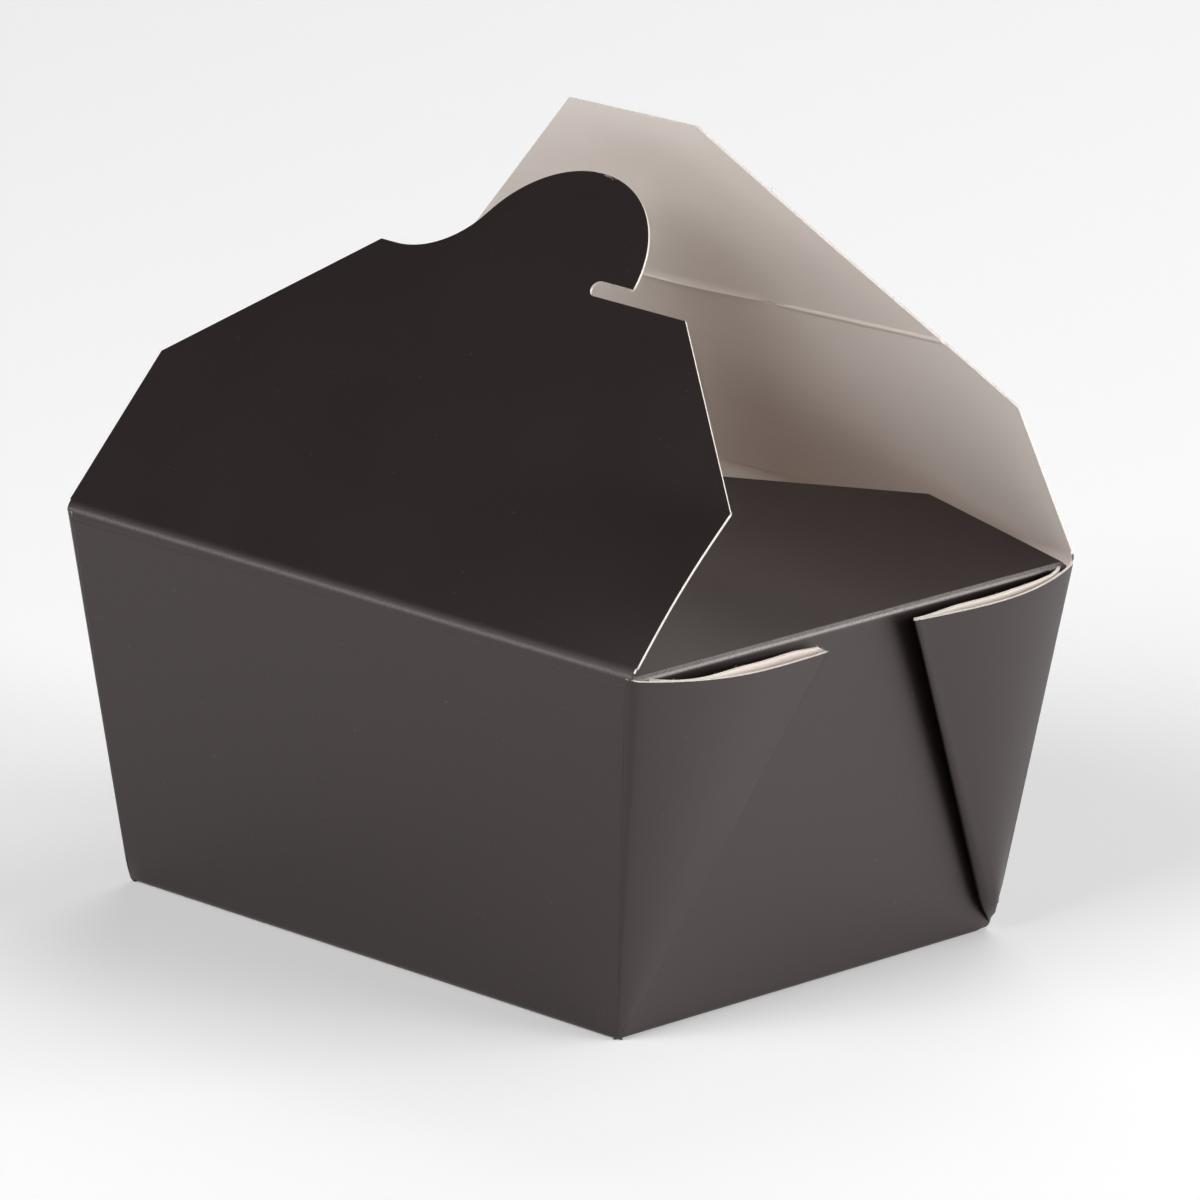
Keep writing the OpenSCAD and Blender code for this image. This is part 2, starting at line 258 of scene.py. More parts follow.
class Board:
    """A sheet of board: its black face, the silver face one thickness behind it, and its cut edges."""

    def __init__(self):
        self.bm = bmesh.new()
        self.wear_and_highlight = self.bm.verts.layers.float.new("wear_and_highlight")

    def add(self, points, normals, faces, wear_and_highlight=None, thickness=None):
        """points and normals are those of the black face, in millimetres; faces are lists of indices.
        wear_and_highlight is 0 to 1, for rubbed board and painted highlights; thickness is BOARD unless it is given."""
        thickness = thickness or [BOARD] * len(points)
        outer = [self.bm.verts.new(p) for p in points]
        inner = [self.bm.verts.new(p - n * t) for p, n, t in zip(points, normals, thickness)]
        if wear_and_highlight:
            for v, w in zip(outer, wear_and_highlight):
                v[self.wear_and_highlight] = w
        open_edges = {}
        for f in faces:
            corners = [points[i] for i in f]
            up = (corners[1] - corners[0]).cross(corners[2] - corners[0])
            f = list(f) if up.dot(normals[f[0]]) > 0 else list(reversed(f))
            self._face([outer[i] for i in f], OUTER)
            self._face([inner[i] for i in reversed(f)], INNER)
            for a, b in zip(f, f[1:] + f[:1]):
                if (b, a) in open_edges:
                    del open_edges[b, a]
                else:
                    open_edges[a, b] = True
        for a, b in open_edges:
            self._face([outer[b], outer[a], inner[a], inner[b]], CUT)

    def _face(self, verts, slot):
        face = self.bm.faces.new(verts)
        face.material_index = slot
        face.smooth = True

    def add_grid(self, rows, normals, wear_and_highlight=None, thickness=None):
        """rows of points; normals, wear_and_highlight and thickness in the same layout."""
        width = len(rows[0])
        starts = [i * width + j for i in range(len(rows) - 1) for j in range(width - 1)]
        faces = [(k, k + 1, k + width + 1, k + width) for k in starts]
        self.add(flattened(rows), flattened(normals), faces, flattened(wear_and_highlight), flattened(thickness))

    def darken_edges(self, near, reach):
        """Cut edges that meet in a folded corner show no board."""
        for f in self.bm.faces:
            if f.material_index == CUT and any((f.calc_center_median() - p).length < reach for p in near):
                f.material_index = OUTER

    def hide_seams(self):
        """All sides of the sheet made so far go on in other parts of it, so none shows a cut edge."""
        for f in self.bm.faces:
            if f.material_index == CUT:
                f.material_index = OUTER

    def deform(self, change):
        for v in self.bm.verts:
            v.co = change(v.co)

    def finish(self, name, body=None):
        for e in self.bm.edges:
            slots = {f.material_index for f in e.link_faces}
            sharp_cut = slots == {CUT} and e.calc_face_angle(0) >= math.radians(CUT_SHARP)
            e.smooth = len(slots) == 1 and not sharp_cut
        bmesh.ops.scale(self.bm, vec=(MM, MM, MM), verts=self.bm.verts)
        mesh = bpy.data.meshes.new(name)
        self.bm.to_mesh(mesh)
        self.bm.free()
        for material in MATERIALS:
            mesh.materials.append(material)
        made = bpy.data.objects.new(name, mesh)
        bpy.context.scene.collection.objects.link(made)
        if body:
            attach(made, body)
        return made


def spread(start, end, count):
    return [start + (end - start) * i / count for i in range(count + 1)]


def guarded(start, end, count, guard=GUARD):
    """Steps from start to end with a narrow step at either end, so that flat panels stay flat up to a fold."""
    sign = 1 if end > start else -1
    return [start] + spread(start + sign * guard, end - sign * guard, count) + [end]


def bend(start, normal, radius, turn):
    """Points and normals round one fold, without its ends."""
    centre = start - normal * radius
    path = []
    for k in range(1, FOLD_STEPS):
        c, s = math.cos(turn * k / FOLD_STEPS), math.sin(turn * k / FOLD_STEPS)
        out = Vector((normal.x * c - normal.y * s, normal.x * s + normal.y * c))
        path.append((centre + out * radius, out))
    return path


def folded_path(corners, radius):
    """A line of board seen from its edge, turning left at each corner: points of its outer side, with normals."""
    directions = [(b - a).normalized() for a, b in zip(corners, corners[1:])]
    starts, ends, turns = [corners[0]], [], []
    for corner, before, after in zip(corners[1:], directions, directions[1:]):
        turns.append(before.angle(after))
        cut = radius * math.tan(turns[-1] / 2)
        ends.append(corner - before * cut)
        starts.append(corner + after * cut)
    ends.append(corners[-1])
    path = []
    for i, along in enumerate(directions):
        length = (ends[i] - starts[i]).length
        normal = Vector((along.y, -along.x))
        steps = max(2, round(length / PANEL_STEP))
        path += [(starts[i] + along * d, normal) for d in guarded(0, length, steps, min(GUARD, length / 4))]
        if i < len(turns):
            path += bend(ends[i], normal, radius, turns[i])
    return path


def bell(distance, width):
    """1 at no distance, falling to nothing within about twice the width."""
    return math.exp(-(distance / width) ** 2)


def smooth(t):
    """0 to 1 without a kink at either end."""
    t = min(1.0, max(0.0, t))
    return t * t * (3 - 2 * t)


# ---------------------------------------------------------------- base and long walls

APEX = Vector((BASE_LENGTH / 2, -BASE_WIDTH / 2, 0))
RIM_CORNER = Vector((RIM_LENGTH / 2, -RIM_WIDTH / 2, HEIGHT))
EDGE_LENGTH = (RIM_CORNER - APEX).length
EDGE = (RIM_CORNER - APEX) / EDGE_LENGTH
WALL_ALONG = Vector((0, 1, 0))
WALL_UP = Vector((END_RUN, 0, HEIGHT)) / END_SLANT
WALL_OUT = Vector((HEIGHT, 0, -END_RUN)) / END_SLANT
EDGE_TURN = math.degrees(math.atan2(-EDGE.dot(WALL_ALONG), EDGE.dot(WALL_UP)))
EDGE_RISE = math.degrees(math.asin(EDGE.dot(WALL_OUT)))
SIDE_OUT = Vector((0, -HEIGHT, -SIDE_RUN)) / SIDE_SLANT
CORNER_SPREAD = 1.3      # degrees that the soft corner fold takes up on either side of the corner edge
PINCH_REACH = 12.0       # the plies are pressed thinner up to this far from the base corner
INNER_PINCH = 50.0       # the same for the inner ply
SEAM_LAP = 0.08          # how far the long wall runs under the web beside it
BASE_LAP = 0.02          # the same for the base and the end wall
WALL_FACING = 0.9        # x of a normal from which the end strip is wall and no longer flap


def in_long_wall(angle):
    """Direction from the right front base corner in the front wall, that angle inside the corner edge."""
    inward = Vector((-1, 0, 0))
    inward = (inward - inward.dot(EDGE) * EDGE).normalized()
    a = math.radians(angle)
    return EDGE * math.cos(a) + inward * math.sin(a)


def wall_half_length(z):
    ray = in_long_wall(CORNER_SPREAD)
    return BASE_LENGTH / 2 + ray.x / ray.z * z


def tray_strip():
    """Base and both long walls up to the crease strips."""
    stop = 1 - CREASE_REACH / SIDE_SLANT
    top = Vector((BASE_WIDTH / 2 + SIDE_RUN * stop, HEIGHT * stop))
    corners = [Vector((-top.x, top.y)), Vector((-BASE_WIDTH / 2, 0)), Vector((BASE_WIDTH / 2, 0)), top]
    rows, normals = [], []
    for p, n in folded_path(corners, FOLD_RADIUS):
        if abs(p.x) < BASE_WIDTH / 2 - FOLD_RADIUS:
            half = BASE_LENGTH / 2 - BASE_BEND
        else:
            half = wall_half_length(max(p.y, 0)) + SEAM_LAP
        line = guarded(-half, half, TRAY_STEPS)
        rows.append([Vector((x, p.x, p.y)) for x in line])
        normals.append([Vector((0, n.x, n.y))] * len(line))
    return rows, normals


def end_half(p, n, reach):
    """Half the width of the end wall or of its flap; reach is the distance past the crease."""
    flap_half = RIM_WIDTH / 2 - BOARD - END_FLAP_ROOM - BOARD * 0.6
    corner_half = RIM_WIDTH / 2 - END_CORNER_INSET
    if p.y < END_CREASE_Z - FOLD_RADIUS or n.x > WALL_FACING:
        half = BASE_WIDTH / 2 + SIDE_RUN * max(p.y, 0) / HEIGHT - BOARD / 2
    elif reach < END_CORNER_REACH:
        t = max(0.0, reach) / END_CORNER_REACH
        half = flap_half + (corner_half - flap_half) * t
    else:
        t = (reach - END_CORNER_REACH) / (END_REACH - END_CORNER_REACH)
        half = corner_half * (1 - t) + END_TIP_WIDTH / 2 * t
    return min(half, flap_half) if n.x < WALL_FACING and p.y > HEIGHT / 2 else half


def end_strip():
    """Right end wall and end flap, from the end of the base."""
    a = math.radians(END_ANGLE)
    away = Vector((-math.cos(a), math.sin(a)))
    root = BASE_LENGTH / 2
    crease = Vector((END_CREASE_X, END_CREASE_Z))
    corners = [Vector((root - BASE_BEND - BASE_LAP, 0)), Vector((root, 0)), crease, crease + END_REACH * away]
    rows, normals, wear_and_highlight = [], [], []
    for p, n in folded_path(corners, FOLD_RADIUS):
        half = end_half(p, n, (p - crease).dot(away))
        line = guarded(-half, half, END_STEPS)
        rows.append([Vector((p.x, y, p.y)) for y in line])
        normals.append([Vector((n.x, 0, n.y))] * len(line))
        # Painted highlight: a pale band over the rounded end crease, brightest towards the flap, stands in for light
        # caught by the fold; a little of it is rubbed coating.
        on_crease = (p - crease).length < 2 * FOLD_RADIUS and 0.40 < n.x < 0.98
        worn_and_highlight_amount = 0.42 + 0.4 * bell(n.x - 0.45, 0.12) if on_crease else 0.0
        wear_and_highlight.append([worn_and_highlight_amount] * len(line))
    return rows, normals, wear_and_highlight


# ---------------------------------------------------------------- webs

WEB_TIP_DROP = 3.7       # the fold's upper end lies this far below the end wall's rim, in the flat sheet
ROOT_GAP = 0.5           # where a web begins, from the base corner
ROOT_FADE = 5.0          # the swelling of a fold builds up over this distance
INNER_START, INNER_RUN = 0.02, 0.16      # shares of the turn over which the inner ply leaves the end wall


class Web:
    """One web at the right front corner, seen from there; the other three are its mirror images."""

    def __init__(self, bow, tip, gaps, slack, root_width, nose=1.0, fold_wear_and_highlight=0.0):
        """bow, tip: how far the web's middle and its fold stand off the end wall at the rim.
        gaps: how far apart the plies are at the rim: share of the way to the fold, millimetres.
        slack: degrees of the flat sheet that the fold takes up. root_width: swelling of the fold low down.
        nose: how far the fold reaches forward, in half widths of the fold. fold_wear_and_highlight: a pale line along
        it, partly rubbed board and partly a painted highlight."""
        self.bow, self.tip, self.gaps = bow, tip, gaps
        self.fold_width, self.root_width = gaps[-1][1], root_width
        self.nose, self.fold_wear_and_highlight = nose, fold_wear_and_highlight
        long_corner = 90 + math.degrees(math.atan((RIM_LENGTH - BASE_LENGTH) / 2 / SIDE_SLANT))
        end_corner = 90 + math.degrees(math.atan(SIDE_RUN / END_SLANT))
        self.full = (360 - 90 - long_corner - end_corner) / 2
        self.flat = self.full - slack
        taken = ((self.lift(tip) - EDGE_RISE) ** 2 + (math.pi * self.lift(bow)) ** 2 / 2) / 2
        self.turn = (self.flat + math.sqrt(self.flat ** 2 - 4 * taken)) / 2

    def lift(self, distance):
        """Degrees by which a ray from the base corner rises to stand that far off at the rim."""
        return math.degrees(math.atan(distance / EDGE_LENGTH))

    def ray(self, turn, lift):
        """Direction from the base corner: degrees from the corner edge along the end wall, and off it."""
        a, b = math.radians(turn - EDGE_TURN), math.radians(lift)
        return math.cos(b) * (math.sin(a) * WALL_ALONG + math.cos(a) * WALL_UP) + math.sin(b) * WALL_OUT

    def rise(self, t):
        """Degrees off the end wall, t of the way to the fold; the bow is fullest before the middle."""
        return EDGE_RISE + (self.lift(self.tip) - EDGE_RISE) * t + self.lift(self.bow) * math.sin(math.pi * t ** 0.85)

    def gap(self, t):
        for (t0, g0), (t1, g1) in zip(self.gaps, self.gaps[1:]):
            if t <= t1:
                return g0 + (g1 - g0) * smooth((t - t0) / (t1 - t0))
        return self.fold_width

    def outer(self, t):
        return self.ray(self.turn * t, self.rise(t))

    def inner(self, t):
        """Black face of the inner ply, which leaves the end wall and then runs behind the outer ply."""
        behind = self.rise(t) - self.lift(self.gap(t))
        return self.ray(self.turn * t, behind * smooth((t - INNER_START) / INNER_RUN))

    def cut(self, angle):
        """Distance of the rim cut from the base corner, at a flat angle from the corner edge."""
        start = EDGE_LENGTH - FOLD_RADIUS / 2
        if angle <= 0:
            return start
        tip = (END_SLANT - WEB_TIP_DROP) / math.cos(math.radians(self.full - EDGE_TURN))
        f, a = math.radians(self.flat), math.radians(angle)
        chord = Vector((tip * math.cos(f) - start, tip * math.sin(f)))
        return start * chord.y / (chord.y * math.cos(a) - chord.x * math.sin(a))

    def swell(self, distance):
        """How much thicker the fold is near the base corner than a cone: board can't bend more tightly."""
        return self.root_width * max(0.0, 1 - distance / EDGE_LENGTH) * (1 - math.exp(-(distance / ROOT_FADE) ** 2))

    def corner(self, after):
        """The soft corner edge, from the long wall to the first ray of the outer ply."""
        before = in_long_wall(CORNER_SPREAD)
        line = []
        for k in range(CORNER_STEPS + 1):
            s = k / CORNER_STEPS
            d = (1 - s) ** 2 * before + 2 * s * (1 - s) * EDGE + s * s * after
            line.append((d.normalized(), (s - 0.5) * 2 * CORNER_SPREAD, Vector()))
        return line

    def fold(self, share):
        """The rounded fold, from the outer to the inner ply, which end at that share of the turn."""
        top, bottom = self.outer(share), self.inner(share)
        middle, half = (top + bottom) / 2, (top - bottom) / 2
        forward = (self.outer(1) - self.outer(share - 0.05)).normalized()
        forward = (forward - forward.dot(half.normalized()) * half.normalized()).normalized()
        line = []
        for k in range(1, NOSE_STEPS):
            a = math.pi * k / NOSE_STEPS
            d = middle + half * math.cos(a) + forward * half.length * self.nose * math.sin(a)
            swell = WALL_OUT * (1 + math.cos(a)) / 2 + forward * self.nose * math.sin(a) / 2
            line.append((d.normalized(), self.flat, swell))
        return line

    def profile(self):
        """Across the sheet, direction, flat angle and share of the swell: corner, outer ply, fold, inner ply."""
        first = CORNER_SPREAD / self.turn
        last = 1 - self.lift(self.fold_width / 2) / self.turn * (self.nose - 0.5)
        line = self.corner(self.outer(first))
        for t in spread(first, last, OUTER_STEPS)[1:]:
            line.append((self.outer(t), self.flat * t, WALL_OUT * smooth(t / last)))
        line += self.fold(last)
        for t in reversed(spread(0.1, last, INNER_STEPS)):
            line.append((self.inner(t), self.flat * t, Vector()))
        return line

    def row(self, line, share):
        """Points across the sheet, that share of the way from the base corner to the rim cut."""
        points = []
        for d, angle, swell in line:
            distance = ROOT_GAP + (self.cut(angle) - ROOT_GAP) * share
            points.append(APEX + d * distance + swell * self.swell(distance))
        return points

    def normals(self, row):
        steps = [row[min(i + 1, len(row) - 1)] - row[max(i - 1, 0)] for i in range(len(row))]
        return [(p - APEX).cross(step).normalized() for p, step in zip(row, steps)]

    def grid(self):
        line = self.profile()
        inner = len(line) - INNER_STEPS
        fold = inner - NOSE_STEPS + 3
        rows = [self.row(line, (j / WEB_ROWS) ** WEB_CROWDING) for j in range(WEB_ROWS + 1)]
        normals = [self.normals(row) for row in rows]
        if normals[0][0].dot(SIDE_OUT) < 0:
            normals = [[-n for n in row] for row in normals]
        reach = [INNER_PINCH if i > inner else PINCH_REACH for i in range(len(line))]
        pinched = [[BOARD * min(1.0, (p - APEX).length / r) for p, r in zip(row, reach)] for row in rows]
        # A pale line along the fold, partly rubbed board and partly a painted highlight where the fold catches light.
        wear_and_highlight = [[self.fold_wear_and_highlight * bell(i - fold, 1.5) for i in range(len(line))]] * len(rows)
        return rows, normals, wear_and_highlight, pinched


FRONT_WEB = Web(
    bow=3.35, tip=3.1, slack=0, root_width=0.5, fold_wear_and_highlight=0.12,
    gaps=((0, 0.9), (0.22, 0.9), (0.62, 3.0), (0.88, 3.2), (1, 2.4)))
BACK_WEB = Web(
    bow=3.35, tip=3.5, slack=2.5, root_width=2.7, nose=1.8,
    gaps=((0, 1.0), (0.5, 2.5), (0.72, 2.5), (1, 1.0)))


def mirrored(grid, x=1, y=1):
    """A grid mirrored in X, Y or both."""
    rows, normals, *rest = grid
    return (
        [[Vector((p.x * x, p.y * y, p.z)) for p in row] for row in rows],
        [[Vector((n.x * x, n.y * y, n.z)) for n in row] for row in normals],
        *rest,
    )


# Base corners by the signs of x and y, each with the radius of its rounding
SOFT_CORNERS = {(1, -1): 1.0, (1, 1): 1.7, (-1, -1): 0.7, (-1, 1): 1.1}
BALL_INSET = 0.885       # how far the ball's centre lies inside the corner, in radii
BALL_FADE = 3            # the pull ends this many radii above the ball's centre
BALL_LEAN = 0.17         # lean of the corner edge
WALL_SWELL = 0.35        # how far the long walls bulge in the middle


def round_corner(p):
    """Pulls the sheet onto a ball at each base corner; the pull fades out above it."""
    for (sx, sy), radius in SOFT_CORNERS.items():
        centre = Vector((BASE_LENGTH / 2 - BALL_INSET * radius, BASE_WIDTH / 2 - BALL_INSET * radius, radius))
        q = Vector((p.x * sx, p.y * sy, p.z)) - centre
        if q.x > 0 and q.y > 0 and q.z < BALL_FADE * radius:
            flat = Vector((q.x, q.y, min(q.z, 0)))
            lean = max(0.0, q.z) * BALL_LEAN
            moved = flat * max(0.0, 1 - (radius + lean) / flat.length) * smooth(1 - q.z / (BALL_FADE * radius))
            return p - Vector((moved.x * sx, moved.y * sy, moved.z))
    return p


def settled(p):
    """The sheet as it stands: rounded base corners and long walls that bulge a little."""
    p = round_corner(p)
    share = p.z / HEIGHT
    if 0 < share < 1.02:
        swell = math.sin(math.pi * min(share, 1))
        along = max(0.0, 1 - (p.x / (RIM_LENGTH / 2)) ** 2)
        if abs(p.y) > BASE_WIDTH / 2 - 2 and abs(p.x) < RIM_LENGTH / 2:
            p = p + Vector((0, math.copysign(WALL_SWELL * swell * along, p.y), 0))
    return p


def carton_sheet():
    board = Board()
    board.add_grid(*tray_strip())
    board.hide_seams()
    end = end_strip()
    front, back = FRONT_WEB.grid(), mirrored(BACK_WEB.grid(), y=-1)
    for x in (1, -1):
        board.add_grid(*mirrored(end, x=x))
        board.add_grid(*mirrored(front, x=x))
        board.add_grid(*mirrored(back, x=x))
    board.darken_edges([Vector((x * APEX.x, y * APEX.y, 0)) for x in (1, -1) for y in (1, -1)], 3.0)
    board.deform(settled)
    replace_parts(board.finish("carton_sheet", "tray"), "carton")


# ---------------------------------------------------------------- lid flaps

def arc_points(centre, radius, start, end, step=3.0):
    """Points along an arc; start, end and step are in degrees."""
    points = []
    for degrees in spread(start, end, max(2, round(abs(end - start) / step))):
        a = math.radians(degrees)
        points.append(centre + radius * Vector((math.cos(a), math.sin(a))))
    return points


def front_outline():
    """Outline of the front flap with its hook and notch, from the crease strip on; y runs away from the crease."""
    hook = Vector((HOOK_OFFSET, FRONT_SHOULDER + HOOK_RISE))
    reach = HOOK_RADIUS + THROAT_RADIUS
    rise = THROAT_RADIUS - HOOK_RISE
    throat = hook + Vector((-math.sqrt(reach ** 2 - rise ** 2), rise))
    joint = math.degrees(math.atan2(throat.y - hook.y, throat.x - hook.x))
    notch_x = HOOK_OFFSET + HOOK_RADIUS - NOTCH_LENGTH + NOTCH_WIDTH / 2
    notch = Vector((notch_x, FRONT_SHOULDER + NOTCH_WIDTH / 2))
    tab = math.degrees(math.asin((NOTCH_WIDTH - HOOK_RISE) / HOOK_RADIUS))
    side = [(RIM_LENGTH / 2, CREASE_REACH), (RIM_LENGTH / 2, FRONT_SIDE), (SHOULDER_WIDTH / 2, FRONT_SHOULDER)]
    line = [Vector(c) for c in side]
    line += arc_points(notch, NOTCH_WIDTH / 2, 270, 90, 12)
    line += arc_points(hook, HOOK_RADIUS, tab, joint)
    line += arc_points(throat, THROAT_RADIUS, joint - 180, -90)[1:]
    return line + [Vector((-x, y)) for x, y in reversed(side)]


def back_outline():
    side = [(RIM_LENGTH / 2, CREASE_REACH), (RIM_LENGTH / 2, BACK_SIDE), (BACK_TIP_WIDTH / 2, BACK_REACH)]
    return [Vector(c) for c in side] + [Vector((-x, y)) for x, y in reversed(side)]


def flat_panel(outline, x_cuts=(), y_cuts=(), hole=None):
    """The outline as a flat mesh cut into squares; hole is (x, y0, y1), an opening between -x and x."""
    bm = bmesh.new()
    face = bm.faces.new([bm.verts.new((p.x, p.y, 0)) for p in outline])
    face.normal_update()
    bmesh.ops.triangulate(bm, faces=[face])
    x_lines = [*x_cuts, *(PANEL_SQUARE * i for i in range(-SQUARE_COLUMNS, SQUARE_COLUMNS + 1))]
    y_lines = [*y_cuts, *(PANEL_SQUARE * i for i in range(SQUARE_ROWS))]
    for point, normal in [((x, 0, 0), (1, 0, 0)) for x in x_lines] + [((0, y, 0), (0, 1, 0)) for y in y_lines]:
        geometry = bm.verts[:] + bm.edges[:] + bm.faces[:]
        bmesh.ops.bisect_plane(bm, geom=geometry, dist=0.0001, plane_co=point, plane_no=normal)
    if hole:
        x, y0, y1 = hole
        centres = [(f, f.calc_center_median()) for f in bm.faces]
        inside = [f for f, centre in centres if abs(centre.x) < x and y0 < centre.y < y1]
        bmesh.ops.delete(bm, geom=inside, context="FACES")
    bmesh.ops.remove_doubles(bm, verts=bm.verts[:], dist=0.001)
    bm.verts.index_update()
    points = [v.co.copy() for v in bm.verts]
    faces = [[v.index for v in f.verts] for f in bm.faces if f.calc_area() > 1e-6]
    bm.free()
    return points, faces


def front_place(p):
    """A point of the flat front flap, in place: raised on its crease, with the slight bow of its right side."""
    a = math.radians(FRONT_ANGLE)
    along, out = Vector((0, math.cos(a), math.sin(a))), Vector((0, -math.sin(a), math.cos(a)))
    near_side = max(0.0, (p.x - BOW_START) / BOW_RUN) ** 2
    bow = FRONT_BOW * near_side * math.sin(math.pi * min(p.y / FRONT_SIDE, 1.0))
    return Vector((p.x, -HINGE_Y, HINGE_Z)) + along * p.y + out * (BOARD / 2 + bow)


def back_lean(x):
    """Rise of the back flap below and beyond its score, and its drop at the crease."""
    from_right = x - RIM_LENGTH / 2
    lower = BACK_RISE + BACK_TWIST * from_right
    upper = lower - (SCORE_BEND + SCORE_TWIST * from_right)
    return math.radians(lower), math.radians(upper), RIM_TILT * from_right


def raised_board(x, past):
    """How far the back flap stands out past its score: a ridge along it, and the lip of the slit."""
    if abs(x) > SLIT_LENGTH / 2:
        return SCORE_RIDGE * bell(past, RIDGE_WIDTH)
    return SLIT_LIP * (1 - (2 * x / SLIT_LENGTH) ** 2) * math.exp(-past / LIP_FADE) if past > 0 else 0


def back_place(p):
    """A point of the flat back flap, in place: raised on its crease, twisted and bent at its score."""
    lower, upper, drop = back_lean(p.x)
    first, second = min(p.y, BACK_SCORE), max(0.0, p.y - BACK_SCORE)
    y = HINGE_Y - first * math.cos(lower) - second * math.cos(upper)
    z = HINGE_Z + drop + first * math.sin(lower) + second * math.sin(upper)
    lean = lower if p.y < BACK_SCORE else upper
    out = Vector((0, math.sin(lean), math.cos(lean)))
    return Vector((p.x, y, z)) + out * (BOARD / 2 - raised_board(p.x, p.y - BACK_SCORE))


def placed_normal(place, p):
    """Normal of a flap in place at a point of the flat flap."""
    d = 0.05
    across = place(p + Vector((d, 0, 0))) - place(p - Vector((d, 0, 0)))
    along = place(p + Vector((0, d, 0))) - place(p - Vector((0, d, 0)))
    return across.cross(along).normalized()


def lid_flap(name, body, node, outline, place, flip, **cuts):
    """A lid flap in place; flip is 1 or -1, the side of the flat flap that is black."""
    points, faces = flat_panel(outline, **cuts)
    board = Board()
    board.add([place(p) for p in points], [placed_normal(place, p) * flip for p in points], faces)
    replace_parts(board.finish(name, body), node)


def crease_bend(place, side, wall, x, s):
    """Point and outward normal of a crease strip, s of the way from the wall to the flap."""
    rim = Vector((x, side * RIM_WIDTH / 2, HEIGHT))
    bottom = rim - wall * CREASE_REACH
    top = place(Vector((x, CREASE_REACH, 0)))
    away = (place(Vector((x, CREASE_REACH + 1, 0))) - top).normalized()
    corner = top - away * CREASE_REACH
    corner = (corner + rim) / 2
    point = (1 - s) ** 2 * bottom + 2 * s * (1 - s) * corner + s * s * top
    tangent = (1 - s) * (corner - bottom) + s * (top - corner)
    normal = Vector((1, 0, 0)).cross(tangent).normalized()
    return point, normal if normal.dot(Vector((0, side, 0.3))) > 0 else -normal


def crease_strip(name, place, side):
    """The bend between a long wall and its lid flap, which follows both; its middle is worn."""
    wall = Vector((0, side * SIDE_RUN, HEIGHT)) / SIDE_SLANT
    rows, normals, wear_and_highlight = [], [], []
    for k in range(STRIP_STEPS + 1):
        s = k / STRIP_STEPS
        half = RIM_LENGTH / 2 - STRIP_INSET - STRIP_TAPER * (1 - smooth(2 * s))
        line = [crease_bend(place, side, wall, x, s) for x in guarded(-half, half, CREASE_STEPS)]
        rows.append([point for point, normal in line])
        normals.append([normal for point, normal in line])
        wear_and_highlight.append([0.32 * bell(s - 0.5, 0.10)] * len(line))
    board = Board()
    board.add_grid(rows, normals, wear_and_highlight)
    board.darken_edges([row[i] for row in rows[:STRIP_STEPS // 2] for i in (0, -1)], 1.0)
    board.deform(settled)
    made = board.finish(name)
    end = place(Vector((0, CREASE_REACH, 0)))
    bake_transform(made)


# ---------------------------------------------------------------- torn fibres along the cut edges

# Places in the flat flap, in millimetres: x, y, direction in degrees, reach along the edge, count, length, width
FRONT_TEARS = (
    (3.0, 82.2, 82, 1.6, 16, 0.55, 0.22), (0.6, 82.6, 90, 0.6, 5, 0.45, 0.18),
    (13.9, 64.1, -100, 0.9, 9, 0.42, 0.09), (17.2, 64.2, -90, 1.4, 5, 0.25, 0.1),
    (20.7, 64.1, -50, 0.35, 7, 0.55, 0.14), (31.0, 61.3, 90, 0.35, 5, 0.38, 0.14),
    (34.6, 61.3, 70, 0.25, 3, 0.25, 0.12), (65.0, 31.4, 20, 0.35, 6, 0.45, 0.12),
    (65.0, 28.0, 0, 2.6, 5, 0.22, 0.1), (65.0, 22.5, 0, 2.8, 7, 0.26, 0.1),
    (65.0, 16.0, 0, 3.0, 7, 0.28, 0.1), (65.0, 9.5, 0, 3.0, 7, 0.26, 0.1),
    (65.0, 4.0, 0, 2.0, 6, 0.32, 0.11), (-65.0, 31.4, 170, 0.4, 3, 0.25, 0.1),
)
BACK_TEARS = (
    (3.7, 79.8, 90, 0.25, 5, 0.3, 0.14), (26.6, 69.7, 43, 0.25, 5, 0.3, 0.14),
    (16.4, 43.4, 0, 0.15, 6, 0.35, 0.14), (65.0, 32.0, 0, 0.3, 4, 0.25, 0.1),
)


def strand(bm, root, along, side, length, width, curl):
    """One torn fibre: a tapered thread that leaves the edge and curls to one side."""
    across = along.cross(side).normalized()
    rings = []
    for k in range(4):
        s = k / 3
        centre = root + along * length * s + side * curl * length * s * s
        r = width / 2 * (1 - 0.75 * s)
        around = [side * math.cos(a) + across * math.sin(a) for a in (0.0, 2.1, 4.2)]
        rings.append([bm.verts.new(centre + out * r) for out in around])
    for first, second in zip(rings, rings[1:]):
        for i in range(3):
            j = (i + 1) % 3
            bm.faces.new((first[i], first[j], second[j], second[i]))
    bm.faces.new(rings[0][::-1])
    bm.faces.new(rings[-1])


def tuft(bm, chance, place, flip, spot):
    """Fibres round one place on the edge of a flap."""
    x, y, heading, reach, count, length, width = spot
    out = Vector((math.cos(math.radians(heading)), math.sin(math.radians(heading)), 0))
    edge = Vector((-out.y, out.x, 0))
    for _ in range(count):
        flat = Vector((x, y, 0)) + edge * chance.uniform(-reach, reach) - out * 0.05
        normal = placed_normal(place, flat) * flip
        root = place(flat) - normal * BOARD * chance.uniform(0.05, 0.9)
        turned = out + edge * chance.uniform(-0.9, 0.9)
        along = (place(flat + turned * 0.1) - place(flat)).normalized()
        along = (along + normal * chance.uniform(-0.3, 0.6)).normalized()
        size = length * chance.uniform(0.5, 1.3), width * chance.uniform(0.6, 1.2)
        strand(bm, root, along, normal, *size, chance.uniform(-0.4, 0.5))


